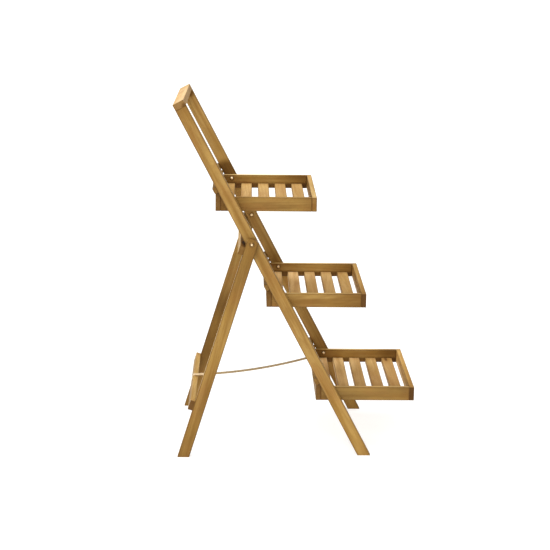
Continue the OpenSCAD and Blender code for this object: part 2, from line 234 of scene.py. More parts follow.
def oiled_board_group():
    """Grain of one oiled board. X runs along the grain, and the log's heart lies on X."""
    inputs = [
        ("Grain", "NodeSocketVector", (0, 0, 0)),
        ("From middle", "NodeSocketVector", (0, 0, 0)),
        ("Half size", "NodeSocketVector", (1, 1, 1)),
        ("Facing", "NodeSocketVector", (0, 0, 1)),
        ("Pale", "NodeSocketColor", PALE_GRAIN),
        ("Dark", "NodeSocketColor", DARK_GRAIN),
        ("Low end", "NodeSocketFloat", 1.0),
        ("High end", "NodeSocketFloat", 1.0),
        # how far a face looks up, and how much painted light makes such faces paler
        ("Looking up", "NodeSocketFloat", 0.0),
        ("Painted light on top", "NodeSocketFloat", 1.0),
        ("End grain", "NodeSocketFloat", 0.7),
    ]
    outputs = [
        ("Color", "NodeSocketColor"),
        ("Roughness", "NodeSocketFloat"),
        ("Relief", "NodeSocketFloat"),
    ]
    tree, given, result = new_group("oiled_board", "ShaderNodeTree", inputs, outputs)
    given = given.outputs
    grain = given["Grain"]
    calc, fade = tree.math, tree.fade

    # growth rings round the heart, pulled about along the log
    wander = {"Vector": tree.stretch(grain, WANDER), "Scale": 1.0, "Detail": 2.0}
    wander = tree.add("ShaderNodeTexNoise", wander).outputs["Color"]
    push = tree.vector("SUBTRACT", wander, (0.5, 0.5, 0.5))
    bent = tree.vector("ADD", grain, tree.stretch(push, RING_PUSH))
    from_heart = tree.vector("LENGTH", tree.stretch(bent, (0, 1, 1)))
    uneven = calc("MULTIPLY", tree.noise(tree.stretch(grain, UNEVEN)), 2.5)
    ring = calc("FRACT", calc("ADD", calc("DIVIDE", from_heart, RING_PITCH), uneven))
    late_wood = tree.product(fade(ring, 0.25, 0.86), fade(ring, 1.0, 0.90))

    # long streaks, fine fibres and dark pores
    streak = tree.noise(tree.stretch(grain, STREAKS), detail=3.0, roughness=0.6)
    cloud = tree.noise(tree.stretch(grain, CLOUDS), detail=3.0, roughness=0.55)
    elsewhere = tree.vector("ADD", tree.stretch(grain, BLUSHES), (7, 3, 5))
    blush = tree.noise(elsewhere, detail=3.0, roughness=0.6)
    fibre = tree.noise(tree.stretch(grain, FIBRES), roughness=0.6)
    pore = fade(tree.noise(tree.stretch(grain, PORES), detail=1.0), 0.66, 0.74)

    # a few small knots
    cell = {"Vector": tree.stretch(bent, KNOTS), "Scale": 1.0}
    cell = tree.add("ShaderNodeTexVoronoi", cell).outputs
    lot = tree.add("ShaderNodeSeparateColor", {"Color": cell["Color"]}).outputs[0]
    chosen = fade(lot, 0.80, 0.82)
    knot = tree.product(fade(cell["Distance"], 0.16, 0.07), chosen)
    halo = tree.product(fade(cell["Distance"], 0.42, 0.10), chosen)

    # end grain, oil drawn in at the ends, and the eased edges, darker in patches and less dark
    # where a face looks up
    facing = tree.parts(tree.vector("ABSOLUTE", given["Facing"]))
    end = fade(facing["X"], 0.55, 0.85)
    from_middle = tree.vector("ABSOLUTE", given["From middle"])
    x, y, z = tree.parts(tree.vector("SUBTRACT", given["Half size"], from_middle))
    lowest = calc("MINIMUM", x, calc("MINIMUM", y, z))
    highest = calc("MAXIMUM", x, calc("MAXIMUM", y, z))
    total = calc("ADD", x, calc("ADD", y, z))
    to_edge = calc("SUBTRACT", total, calc("ADD", lowest, highest))
    edge_patches = fade(streak, 0.20, 0.50, 0.6, 1.0)
    edge_depth = fade(given["Looking up"], *LOOKS_UP, 0.60, 0.22)
    edge = tree.product(fade(to_edge, *EASED_EDGE), edge_patches, edge_depth)
    oiled = tree.product(fade(x, *OIL_REACH), fade(cloud, 0.30, 0.55, 0.3, 1.0))

    base = tree.blend(fade(streak, 0.28, 0.72), given["Dark"], given["Pale"])
    base = tree.blend(calc("MULTIPLY", late_wood, 0.34), base, given["Dark"])
    for share, tint in (
        (fade(cloud, 0.40, 0.70, 0.0, 0.35), CLOUD_GOLD),
        (fade(blush, 0.45, 0.70, 0.0, 0.20), BLUSH_RED),
        (fade(fibre, 0.35, 0.65, 0.16, 0.0), FIBRE_BROWN),
        (calc("MULTIPLY", pore, 0.40), PORE_BROWN),
        (calc("MULTIPLY", halo, 0.35), HALO_BROWN),
        (calc("MULTIPLY", knot, 0.85), KNOT_BROWN),
        (calc("MULTIPLY", oiled, 0.30), OILED_BROWN),
        (calc("MULTIPLY", end, given["End grain"]), END_BROWN),
        (edge, END_BROWN),
    ):
        base = tree.blend(share, base, tint)

    # each board changes a little in tone from one end to the other, partly as painted shade and
    # light, and is made paler where it looks up, as painted light
    way = tree.parts(tree.vector("DIVIDE", given["From middle"], given["Half size"]))
    to_low = fade(way["X"], -0.10, -0.85)
    to_high = fade(way["X"], 0.10, 0.85)
    up = fade(given["Looking up"], *LOOKS_UP)
    low_end = calc("MULTIPLY", to_low, calc("SUBTRACT", given["Low end"], 1.0))
    high_end = calc("MULTIPLY", to_high, calc("SUBTRACT", given["High end"], 1.0))
    paler = calc("MULTIPLY", up, calc("SUBTRACT", given["Painted light on top"], 1.0))
    tone = calc("ADD", 1.0, calc("ADD", low_end, high_end))
    tone = calc("MULTIPLY", tone, calc("ADD", 1.0, paler))

    rough = calc("MULTIPLY", calc("ADD", end, pore), 0.12)
    relief = calc("MULTIPLY_ADD", pore, -0.8, calc("MULTIPLY", late_wood, 0.25))
    relief = calc("MULTIPLY_ADD", fibre, 0.5, relief)
    tree.feed(result.inputs["Color"], tree.toned(base, tone))
    tree.feed(result.inputs["Roughness"], calc("ADD", fade(streak, 0.2, 0.8, 0.60, 0.46), rough))
    tree.feed(result.inputs["Relief"], relief)
    return tree.tree


def board_material(node, grain_way, group, pale, dark, tone, luck):
    """The wood of one board, with its grain along grain_way, from its own place in a log."""
    turn = grain_way.rotation_difference(FORWARD)
    corners = [turn @ v.co for v in NODES[node].data.vertices]
    low = Vector([min(c[i] for c in corners) for i in range(3)])
    high = Vector([max(c[i] for c in corners) for i in range(3)])
    middle = (low + high) / 2
    from_heart = Vector((luck.uniform(-3, 3), luck.uniform(0.035, 0.10), luck.uniform(-0.05, 0.05)))
    # the board is sawn a little askew to the log, so its rings run out in long arches
    askew = (luck.uniform(0, 6.28), luck.uniform(-0.05, 0.05), luck.uniform(-0.05, 0.05))

    material, tree, shader = new_material("wood_of_" + node)
    place = tree.add("ShaderNodeTexCoord").outputs
    turned = {"Vector": place["Object"], "Rotation": turn.to_euler(), "Location": -middle}
    turned = tree.add("ShaderNodeMapping", turned).outputs[0]
    grain = {"Vector": turned, "Rotation": askew, "Location": from_heart}
    facing = {"Vector": place["Normal"], "Rotation": turn.to_euler()}
    # how far each face looks the way that painted light makes paler
    up = tree.vector("DOT_PRODUCT", place["Normal"], painted_light_way(node))
    board = tree.add("ShaderNodeGroup", node_tree=group)
    for socket, value in (
        ("Grain", tree.add("ShaderNodeMapping", grain).outputs[0]),
        ("From middle", turned),
        ("Half size", (high - low) / 2),
        ("Facing", tree.add("ShaderNodeMapping", facing, vector_type="VECTOR").outputs[0]),
        ("Pale", pale),
        ("Dark", dark),
        ("Low end", tone["low"]),
        ("High end", tone["high"]),
        ("Looking up", up),
        ("Painted light on top", tone["top"]),
        ("End grain", tone["ends"]),
    ):
        tree.feed(board.inputs[socket], value)
    wood = board.outputs["Color"]
    # painted shade: the wood darkened round each of its spots
    for spot, size, depth in painted_shade_of(node):
        away = tree.vector("SUBTRACT", place["Object"], spot)
        away = tree.vector("LENGTH", tree.vector("DIVIDE", away, size))
        wood = tree.toned(wood, tree.fade(away, 1.0, 0.5, 1.0, 1.0 - depth))
    bump = {"Strength": 0.5, "Distance": GRAIN_RELIEF, "Height": board.outputs["Relief"]}
    tree.feed(shader.inputs["Base Color"], wood)
    tree.feed(shader.inputs["Roughness"], board.outputs["Roughness"])
    tree.feed(shader.inputs["Normal"], tree.add("ShaderNodeBump", bump).outputs[0])
    shader.inputs["Specular IOR Level"].default_value = 0.12
    return material


def grain_of(node):
    """The direction in which a board's grain runs, from what the board is."""
    if node.startswith("rail_"):
        return UP_RAIL
    if node.startswith("leg_"):
        return UP_LEG
    if "_side_" in node:
        return FORWARD
    return ACROSS


# How light each board is against its kind: all of it; its low and high ends against its middle,
# partly painted shade and light;
# its faces that look up, or back on the legs, made paler as painted light; and how far its sawn
# ends are darkened
PLAIN_TONE = {"all": 1.0, "low": 1.0, "high": 1.0, "top": 1.0, "ends": 0.7}
BOARD_TONES = {
    "rail_left": {"all": 0.98},
    "rail_right": {"all": 1.05, "low": 0.70, "high": 1.12},
    "leg_left": {"all": 0.85, "low": 0.76, "high": 0.74, "top": 1.7, "ends": 0.2},
    "leg_right": {"all": 0.72, "low": 0.88, "high": 1.25, "top": 1.5, "ends": 0.2},
    "top_board": {"all": 0.98, "high": 0.88, "top": 1.88, "ends": 0.45},
    "stop_batten_bottom": {"all": 0.75, "ends": 0.35},
    "stop_batten_middle": {"all": 0.75, "ends": 0.35},
    "stop_batten_top": {"all": 0.75, "ends": 0.35},
    "rear_batten_upper": {"all": 1.00, "top": 1.95, "ends": 0.6},
    "rear_batten_lower": {"all": 1.00, "top": 1.62, "ends": 0.9},
    "tray_bottom_side_left": {"all": 0.60, "high": 0.92, "top": 1.95},
    "tray_middle_side_left": {"all": 0.86, "high": 0.70, "top": 1.75},
    "tray_top_side_left": {"all": 0.71, "low": 0.64, "high": 0.94, "top": 1.45},
    "tray_bottom_side_right": {"all": 1.04, "low": 0.62, "high": 0.52, "top": 2.15},
    "tray_middle_side_right": {"all": 1.10, "low": 0.78, "high": 0.64, "top": 2.1},
    "tray_top_side_right": {"all": 0.93, "low": 0.85, "high": 0.60, "top": 2.8},
    "tray_bottom_front": {"all": 2.15, "low": 0.66, "high": 1.15, "top": 0.80, "ends": 0.95},
    "tray_middle_front": {"all": 1.56, "low": 0.8, "top": 0.93, "ends": 0.95},
    "tray_top_front": {"all": 0.90, "top": 1.9, "ends": 0.25},
}
# A tray's slats: near end, darkened as painted shade of the near side board; far end, lightened as
# painted light;
# and how much darker the far end gets from slat to slat, as painted shade
SLAT_TONES = {
    "tray_bottom": (0.70, 1.38, 0.11),
    "tray_middle": (0.72, 1.45, 0.16),
    "tray_top": (0.70, 1.14, 0.05),
}
SLAT_LIGHTNESS = {
    "tray_bottom": (1.08, 1.22, 1.00, 0.94, 0.97),
    "tray_middle": (1.12, 1.28, 1.02, 0.92, 0.90),
    "tray_top": (0.91, 1.02, 1.00, 1.02, 0.98),
}

# Painted shade on boards, darker round each spot where nearby parts and crevices shade the wood:
# middle, reach, depth
PAINTED_SHADE = {
    "rail_right": [
        ((-0.216, 0.205, 0.806), (0.050, 0.050, 0.050), 0.60),
        ((-0.040, 0.205, 0.520), (0.034, 0.034, 0.034), 0.20),
        ((-0.262, 0.205, 0.905), (0.060, 0.060, 0.060), 0.10),
        ((-0.334, 0.205, 1.060), (0.021, 0.021, 0.021), 0.55),
    ],
    "leg_right": [((-0.255, 0.226, 0.275), (0.16, 0.16, 0.16), 0.42)],
    "top_board": [((-0.328, -0.238, 1.070), (0.016, 0.016, 0.014), 0.42)],
    "rear_batten_upper": [
        ((-0.1575, 0.0, 0.664), (0.014, 10.0, 0.006), 0.24),
        ((-0.1540, -0.230, 0.662), (0.014, 0.046, 0.011), 0.86),
    ],
}
# Painted shade along the inner lower edge of the trays' side boards, beneath the slats
SIDE_SHADE = Vector((10.0, 0.006, 0.022))
SIDE_SHADE_DEPTH = 0.60


def tone_of(node):
    """The tone of a board, from its own entry or its kind's."""
    if "_slat_" not in node:
        return {**PLAIN_TONE, **BOARD_TONES.get(node, {})}
    tray, number = node.split("_slat_")
    low, high, less = SLAT_TONES[tray]
    place = int(number)
    high -= less * (place - (SLATS + 1) / 2)
    return {**PLAIN_TONE, "all": SLAT_LIGHTNESS[tray][place - 1], "low": low, "high": high}


def painted_light_way(node):
    """The way that the faces look which painted light makes paler: back on the legs, and otherwise
    up.
    """
    on_legs = node.startswith("leg_") or node == "rear_batten_upper"
    return LEG_BACK if on_legs else Vector((0, 0, 1))


def painted_shade_of(node):
    """Where painted shade darkens a board: the place, reach and depth of each dark patch."""
    if node in PAINTED_SHADE:
        return [(Vector(place), Vector(sizes), depth) for place, sizes, depth in PAINTED_SHADE[node]]
    if "_side_" in node:
        low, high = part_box(node)
        inner = low.y if node.endswith("right") else high.y
        return [(Vector(((low.x + high.x) / 2, inner, low.z)), SIDE_SHADE, SIDE_SHADE_DEPTH)]
    return []


def shaded(tone, factor):
    """A board's tone, with the slight drift of its green and blue as it darkens."""
    red, green, blue, _ = tone
    return (red * factor, green * factor ** GREEN_DRIFT, blue * factor ** BLUE_DRIFT, 1.0)


def paint_boards():
    """A wood material of its own for each board, in the tones of its kind."""
    group = oiled_board_group()
    slots = {s["node"]: s["material_slot"] for s in frame["record"]["subparts"]}
    tones = {
        "wood": (PALE_GRAIN, DARK_GRAIN),
        "slat_wood": (colour(205, 169, 108), colour(173, 133, 77)),
        "pale_wood": (colour(226, 202, 150), colour(206, 176, 120)),
        "top_board": (colour(187, 151, 97), colour(165, 129, 77)),
    }
    luck = random.Random(WOOD_LUCK)
    for node in sorted(NODES):
        if slots[node] not in tones:
            continue
        pale, dark = tones.get(node, tones[slots[node]])
        tone = tone_of(node)
        lightness = tone["all"] * luck.uniform(0.97, 1.03)
        pale, dark = shaded(pale, lightness), shaded(dark, lightness)
        made = board_material(node, grain_of(node), group, pale, dark, tone, luck)
        set_material(NODES[node], made)


def set_material(piece, material):
    """Gives the whole piece one material."""
    piece.data.materials.clear()
    piece.data.materials.append(material)


# ---- metal ----

BLOOM_SCALE = 900.0
PATCH_SCALE = 160.0


def plated_steel(name, bright, dull, spots):
    """Plating that has clouded in patches and bloomed in fine spots."""
    material, tree, shader = new_material(name)
    place = tree.add("ShaderNodeTexCoord").outputs["Object"]
    bloom = tree.noise(place, BLOOM_SCALE, 3.0, 0.6)
    patches = tree.noise(place, PATCH_SCALE)
    tone = tree.blend(tree.fade(patches, 0.3, 0.7), dull, bright)
    tone = tree.blend(tree.fade(bloom, 0.55, 0.75, 0.0, 0.35), tone, spots)
    bump = tree.add("ShaderNodeBump", {"Strength": 0.3, "Distance": 0.00005, "Height": bloom})
    tree.feed(shader.inputs["Base Color"], tone)
    tree.feed(shader.inputs["Roughness"], tree.fade(bloom, 0.3, 0.7, 0.36, 0.54))
    tree.feed(shader.inputs["Normal"], bump.outputs[0])
    shader.inputs["Metallic"].default_value = 1.0
    return material


# ---- webbing ----

STRAP_WIDTH = 0.020
STRAP_THICKNESS = 0.0018
STRAP_OFF_WOOD = 0.0003 + STRAP_THICKNESS / 2
STRAP_SAG = 0.013
STRAP_TAIL = 0.0165
STRAP_BEND = 0.002
STRAP_STEP = 0.0015
SPAN_STEPS = 60
SHARP_CORNER = math.radians(150)
WEAVE_LANES = 6
LANE_DEPTH = 0.14
YARN_PITCH = 0.0011
WARP_PITCH = 0.0008
FREE_SPAN_FROM = 0.050
FREE_SPAN_TO = 0.085
# the painted shade of the strap's free span
SPAN_SHADE = (0.53, 0.47, 0.28, 1.0)


def strap_route():
    """The middle line of the strap, in the side view, from its rear tail to its front tail."""
    rear, front = "rear_batten_lower", "stop_batten_bottom"
    rear_top = reach(rear, UP_LEG)[1]
    rear_face = reach(rear, LEG_BACK)[1] + STRAP_OFF_WOOD
    front_top = reach(front, UP_RAIL)[1]
    front_face = reach(front, RAIL_FRONT)[1] + STRAP_OFF_WOOD

    def on_leg(up, back):
        return UP_LEG * up + LEG_BACK * back

    def on_rail(up, forward):
        return UP_RAIL * up + RAIL_FRONT * forward

    start = on_leg(rear_top + STRAP_OFF_WOOD, rear_face)
    end = on_rail(front_top + STRAP_OFF_WOOD, front_face)
    span = []
    for i in range(SPAN_STEPS + 1):
        t = i / SPAN_STEPS
        span.append(start.lerp(end, t) - Vector((0, 0, 4 * STRAP_SAG * t * (1 - t))))
    route = [
        on_leg(rear_top - STRAP_TAIL, rear_face),
        *span,
        on_rail(front_top - STRAP_TAIL, front_face),
    ]
    return route, start, end


def rounded(route, reach_back, steps=5):
    """The route with each sharp corner replaced by a short curve."""
    result = [route[0]]
    for before, corner, after in zip(route, route[1:], route[2:]):
        back, on = (before - corner).normalized(), (after - corner).normalized()
        if back.angle(on) > SHARP_CORNER:
            result.append(corner)
            continue
        for i in range(steps + 1):
            t = i / steps
            p, q = corner + back * reach_back, corner + on * reach_back
            result.append(p.lerp(corner, t).lerp(corner.lerp(q, t), t))
    return result + [route[-1]]


def evenly_spaced(route, step):
    """Points along the route, one step apart, with their distance from its start."""
    lengths = [(b - a).length for a, b in zip(route, route[1:])]
    total = sum(lengths)
    count = round(total / step)
    points, piece, passed = [], 0, 0.0
    for i in range(count + 1):
        goal = total * i / count
        while piece < len(lengths) - 1 and passed + lengths[piece] < goal:
            passed += lengths[piece]
            piece += 1
        t = (goal - passed) / lengths[piece]
        points.append((route[piece].lerp(route[piece + 1], min(t, 1.0)), goal))
    return points, total


def strap_section():
    """Half-thickness of the webbing across its width: round selvedges and shallow woven lanes."""
    columns = WEAVE_LANES * 5
    section = []
    for i in range(columns + 1):
        u = i / columns
        lane = abs(math.sin(math.pi * u * WEAVE_LANES))
        edge = min(u, 1 - u) * STRAP_WIDTH
        roll = min(1.0, edge / (STRAP_THICKNESS / 2))
        half = STRAP_THICKNESS / 2 * math.sqrt(max(0.0, 1 - (1 - roll) ** 2))
        section.append((u, half * (1 - LANE_DEPTH + LANE_DEPTH * lane)))
    return section


def lay_face(mesh, uv, corners):
    """One face of the webbing, unrolled by its place across and along the strap."""
    face = mesh.faces.new([vert for vert, _, _ in corners])
    for loop, (_, u, along) in zip(face.loops, corners):
        loop[uv].uv = (u * STRAP_WIDTH, along)


def make_strap(webbing):
    """The spread strap, woven in lanes, along its route from batten to batten."""
    route, start, end = strap_route()
    points, length = evenly_spaced(rounded(route, STRAP_BEND), STRAP_STEP)
    section = strap_section()
    mesh = bmesh.new()
    uv = mesh.loops.layers.uv.new("webbing")
    rows = []
    for i, (p, along) in enumerate(points):
        ahead, behind = points[min(i + 1, len(points) - 1)][0], points[max(i - 1, 0)][0]
        out = ACROSS.cross((ahead - behind).normalized())
        ring = []
        for side, entries in ((1, section), (-1, section[-2:0:-1])):
            for u, half in entries:
                place = p + ACROSS * (u - 0.5) * STRAP_WIDTH + out * side * half
                ring.append((mesh.verts.new(place), u, along))
        rows.append(ring)
    for low, high in zip(rows, rows[1:]):
        for j in range(len(low)):
            k = (j + 1) % len(low)
            lay_face(mesh, uv, [low[j], low[k], high[k], high[j]])
    for ring in (rows[0], rows[-1]):
        lay_face(mesh, uv, ring)
    bmesh.ops.recalc_face_normals(mesh, faces=mesh.faces)
    strap = finished("strap_webbing", mesh, webbing)
    for face in strap.data.polygons:
        face.use_smooth = True
    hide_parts("spread_strap")
    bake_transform(strap)
    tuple(start)
    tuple(end)


def finished(name, mesh, material):
    """The bmesh as a plain object at the origin."""
    data = bpy.data.meshes.new(name)
    mesh.to_mesh(data)
    mesh.free()
    data.materials.append(material)
    piece = bpy.data.objects.new(name, data)
    bpy.context.scene.collection.objects.link(piece)
    return piece


def webbing_material():
    """Cream twill webbing, soiled in patches, with painted shade where it hangs free."""
    material, tree, shader = new_material("cream_webbing")
    sheet = tree.add("ShaderNodeUVMap", uv_map="webbing").outputs[0]
    across, along, _ = tree.parts(sheet)
    lane = tree.math("PINGPONG", across, STRAP_WIDTH / WEAVE_LANES)
    twill = tree.math("MULTIPLY_ADD", lane, 1.2, along)
    yarn = tree.math("SINE", tree.math("MULTIPLY", twill, math.tau / YARN_PITCH))
    warp = tree.math("SINE", tree.math("MULTIPLY", across, math.tau / WARP_PITCH))
    weave = tree.math("MULTIPLY_ADD", yarn, 0.7, tree.math("MULTIPLY", warp, 0.3))
    soil = tree.noise(tree.stretch(sheet, (60, 12, 1)), detail=3.0)
    fuzz = tree.noise(tree.stretch(sheet, (5000, 5000, 1)))
    free = tree.fade(along, FREE_SPAN_FROM, FREE_SPAN_TO)
    tone = tree.blend(tree.fade(weave, -1, 1), colour(190, 158, 112), colour(238, 212, 166))
    tone = tree.blend(tree.fade(soil, 0.45, 0.75, 0.0, 0.35), tone, colour(196, 162, 112))
    tone = tree.blend(tree.fade(fuzz, 0.5, 0.8, 0.0, 0.25), tone, colour(236, 218, 184))
    # painted shade on the free span between the battens
    tone = tree.blend(free, tone, SPAN_SHADE, "MULTIPLY")
    bump = tree.add("ShaderNodeBump", {"Strength": 0.7, "Distance": 0.0003, "Height": weave})
    tree.feed(shader.inputs["Base Color"], tone)
    tree.feed(shader.inputs["Normal"], bump.outputs[0])
    shader.inputs["Roughness"].default_value = 0.85
    shader.inputs["Sheen Weight"].default_value = 0.25
    return material


# ---- screws and brads ----

WOOD_SCREW = {
    "Head diameter": 0.007, "Shank diameter": 0.0035, "Length": 0.034, "Recess width": 0.0010,
}
BRAD = {"Head diameter": 0.0016, "Proud": 0.00003, "Depth": 0.0015}
BRAD_APART = 0.018
ROLL_SEED = 11
# A screw's recess against its head's radius and height, and its tip against its shank
RECESS_REACH = 1.15
RECESS_DEPTH = 1.4
TIP_LENGTH = 1.5
TIP_RADIUS = 0.0002
# Corners this close to a solid's end belong to it, and this close together are one corner
AT_END = 1e-5
SAME_CORNER = 1e-6


def spots_object(name, spots):
    """One point for each place, with the direction in which its fastener looks out."""
    data = bpy.data.meshes.new(name)
    data.from_pydata([p for p, _ in spots], [], [])
    ways = data.attributes.new("outwards", "FLOAT_VECTOR", "POINT")
    for i, (_, way) in enumerate(spots):
        ways.data[i].vector = way
    piece = bpy.data.objects.new(name, data)
    bpy.context.scene.collection.objects.link(piece)
    return piece


def geometry_group(name, sizes):
    """An empty Geometry Nodes group whose inputs are the sizes, a seed and a material."""
    inputs = [("Geometry", "NodeSocketGeometry", None)]
    inputs += [(label, "NodeSocketFloat", value) for label, value in sizes.items()]
    inputs += [("Seed", "NodeSocketInt", 0), ("Material", "NodeSocketMaterial", None)]
    return new_group(name, "GeometryNodeTree", inputs, [("Geometry", "NodeSocketGeometry")])


def place_on_spots(tree, given, result, shape):
    """Sets the shape on every spot, turned to look outwards and then rolled by chance."""
    given = given.outputs
    ways = tree.add(
        "GeometryNodeInputNamedAttribute", {"Name": "outwards"}, data_type="FLOAT_VECTOR",
    )
    roll = tree.add(
        "FunctionNodeRandomValue", {"Max": 6.283, "Seed": given["Seed"]}, data_type="FLOAT",
    )
    roll = [socket for socket in roll.outputs if socket.enabled][0]
    aim = tree.add(
        "FunctionNodeAlignRotationToVector", {"Vector": ways.outputs["Attribute"]}, axis="Z",
    )
    spin = tree.add("ShaderNodeCombineXYZ", {"Z": roll}).outputs[0]
    spin = tree.add("FunctionNodeEulerToRotation", {"Euler": spin}).outputs[0]
    turned = tree.add(
        "FunctionNodeRotateRotation", {"Rotation": aim.outputs[0], "Rotate By": spin},
        rotation_space="LOCAL",
    )
    set_on = tree.add("GeometryNodeInstanceOnPoints", {
        "Points": given["Geometry"], "Instance": shape, "Rotation": turned.outputs[0],
    })
    real = tree.add("GeometryNodeRealizeInstances", {"Geometry": set_on.outputs[0]})
    dressed = tree.add("GeometryNodeSetMaterial", {
        "Geometry": real.outputs[0], "Material": given["Material"],
    })
    tree.feed(result.inputs["Geometry"], dressed.outputs[0])


def lowered(tree, geometry, depth):
    """The shape moved down by a depth."""
    down = tree.math("MULTIPLY", depth, -1.0)
    place = tree.add("ShaderNodeCombineXYZ", {"Z": down}).outputs[0]
    moved = {"Geometry": geometry, "Translation": place}
    return tree.add("GeometryNodeTransform", moved).outputs[0]


def joined(tree, *shapes):
    """The shapes as one."""
    node = tree.add("GeometryNodeJoinGeometry")
    for shape in shapes:
        tree.tree.links.new(shape, node.inputs[0])
    return node.outputs[0]


def wood_screw_tree():
    """Countersunk wood screws with a cross recess, heads flush with their spots."""
    tree, given, result = geometry_group("countersunk_wood_screws", WOOD_SCREW)
    sizes = given.outputs
    head_r = tree.math("DIVIDE", sizes["Head diameter"], 2.0)
    shank_r = tree.math("DIVIDE", sizes["Shank diameter"], 2.0)
    head_h = tree.math("SUBTRACT", head_r, shank_r)
    cone = tree.add("GeometryNodeMeshCone", {
        "Vertices": 28, "Radius Top": head_r, "Radius Bottom": shank_r, "Depth": head_h,
    })
    arm = tree.math("MULTIPLY", head_r, RECESS_REACH)
    wide = sizes["Recess width"]
    deep = tree.math("MULTIPLY", head_h, RECESS_DEPTH)
    cut = tree.add("GeometryNodeMeshBoolean", operation="DIFFERENCE", solver="EXACT")
    tree.feed(cut.inputs["Mesh 1"], lowered(tree, cone.outputs["Mesh"], head_h))
    for x, y in ((arm, wide), (wide, arm)):
        size = tree.add("ShaderNodeCombineXYZ", {"X": x, "Y": y, "Z": deep}).outputs[0]
        bar = tree.add("GeometryNodeMeshCube", {"Size": size}).outputs["Mesh"]
        tree.tree.links.new(bar, cut.inputs["Mesh 2"])
    tip_l = tree.math("MULTIPLY", sizes["Shank diameter"], TIP_LENGTH)
    body_l = tree.math("SUBTRACT", sizes["Length"], tree.math("ADD", head_h, tip_l))
    body = tree.add("GeometryNodeMeshCylinder", {
        "Vertices": 14, "Radius": shank_r, "Depth": body_l,
    })
    body_z = tree.math("ADD", head_h, tree.math("DIVIDE", body_l, 2.0))
    tip = tree.add("GeometryNodeMeshCone", {
        "Vertices": 14, "Radius Top": shank_r, "Radius Bottom": TIP_RADIUS, "Depth": tip_l,
    })
    shank = lowered(tree, body.outputs["Mesh"], body_z)
    tip = lowered(tree, tip.outputs["Mesh"], sizes["Length"])
    place_on_spots(tree, given, result, joined(tree, cut.outputs["Mesh"], shank, tip))
    return tree.tree


def brad_tree():
    """Heads of the brads that hold the slats, a hair proud of the wood."""
    tree, given, result = geometry_group("brad_heads", BRAD)
    sizes = given.outputs
    radius = tree.math("DIVIDE", sizes["Head diameter"], 2.0)
    disc = tree.add("GeometryNodeMeshCylinder", {
        "Vertices": 12, "Radius": radius, "Depth": sizes["Depth"],
    })
    sunk = tree.math("SUBTRACT", tree.math("DIVIDE", sizes["Depth"], 2.0), sizes["Proud"])
    place_on_spots(tree, given, result, lowered(tree, disc.outputs["Mesh"], sunk))
    return tree.tree


def grown(name, spots, group, sizes, material, body):
    """Runs a geometry tree on the spots and keeps its result as a plain mesh on a body."""
    seedbed = spots_object(name + "_spots", spots)
    modifier = seedbed.modifiers.new("grow", "NODES")
    modifier.node_group = group
    sockets = {s.name: s.identifier for s in group.interface.items_tree if s.in_out == "INPUT"}
    for label, value in {**sizes, "Seed": ROLL_SEED, "Material": material}.items():
        modifier[sockets[label]] = value
    bpy.context.view_layer.update()
    settled = seedbed.evaluated_get(bpy.context.evaluated_depsgraph_get())
    data = bpy.data.meshes.new_from_object(settled)
    data.name = name
    bpy.data.objects.remove(seedbed)
    piece = bpy.data.objects.new(name, data)
    bpy.context.scene.collection.objects.link(piece)
    set_material(piece, material)
    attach(piece, body)
    return piece


def solids_of(node):
    """The separate solids of a node, each as its list of corner places."""
    mesh = bmesh.new()
    mesh.from_mesh(NODES[node].data)
    bmesh.ops.remove_doubles(mesh, verts=mesh.verts, dist=SAME_CORNER)
    seen, groups = set(), []
    for first in mesh.verts:
        if first in seen:
            continue
        seen.add(first)
        stack, found = [first], []
        while stack:
            vert = stack.pop()
            found.append(vert.co.copy())
            for edge in vert.link_edges:
                other = edge.other_vert(vert)
                if other not in seen:
                    seen.add(other)
                    stack.append(other)
        groups.append(found)
    mesh.free()
    return groups


def head_spots(node, way):
    """Where the heads of a node's screws look out, for the screws that look along way."""
    spots = []
    for corners in solids_of(node):
        top = max(c.dot(way) for c in corners)
        rim = [c for c in corners if c.dot(way) > top - AT_END]
        centre = sum(rim, Vector()) / len(rim)
        radius = max((c - centre).length for c in rim)
        if radius > WOOD_SCREW["Head diameter"] * 0.45:
            spots.append((centre, way))
    return spots


def make_screws(steel):
    """Wood screws in place of the plain ones: top board, battens and tray corners."""
    group = wood_screw_tree()
    sets = [
        ("top_board_screws", "front_frame", [UP_RAIL]),
        ("stop_batten_screws", "front_frame", [-RAIL_FRONT]),
        ("rear_batten_screws", "rear_frame", [LEG_BACK]),
    ]
    for level in LEVELS:
        sets.append((f"tray_{level}_screws", f"tray_{level}", [FORWARD, -FORWARD]))
    for node, body, ways in sets:
        spots = [spot for way in ways for spot in head_spots(node, way)]
        piece = grown(node + "_detailed", spots, group, WOOD_SCREW, steel, body)
        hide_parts(node)


def make_brads(steel):
    """Two brads through each side board into each end of a slat."""
    group = brad_tree()
    for level in LEVELS:
        spots = []
        for side, way in (("left", -ACROSS), ("right", ACROSS)):
            face = reach(f"tray_{level}_side_{side}", way)[1]
            for i in range(1, SLATS + 1):
                low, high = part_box(f"tray_{level}_slat_{i}")
                middle = (low + high) / 2
                for shift in (-BRAD_APART / 2, BRAD_APART / 2):
                    spots.append((Vector((middle.x + shift, face * way.y, middle.z)), way))
        grown(f"tray_{level}_brads", spots, group, BRAD, steel, f"tray_{level}")


# ---- turned fasteners ----

LATHE_SIDES = 48
HEAD_RISE = 0.0035
CUP_RISE = 0.0022
DOME_STEPS = 8
SMOOTH_UP_TO = math.radians(35)


def hex_outline(radius, angle):
    """How far a hexagonal recess reaches at an angle, its corners at the radius."""
    return radius * math.cos(math.pi / 6) / math.cos(angle % (math.pi / 3) - math.pi / 6)


def cross_outline(radius, angle):
    """How far the arms of a cross recess reach at an angle."""
    return radius * (0.34 + 0.66 * abs(math.cos(2 * angle)) ** 6)


def plain(*points):
    """Points of a profile that are plain circles, each given by its height and radius."""
    return [(height, radius, False) for height, radius in points]


def shaft_end(radius, length):
    """The end of a shaft, with its edge taken off."""
    return plain((0.0005 - length, radius), (-length, radius - 0.0005), (-length, 0))


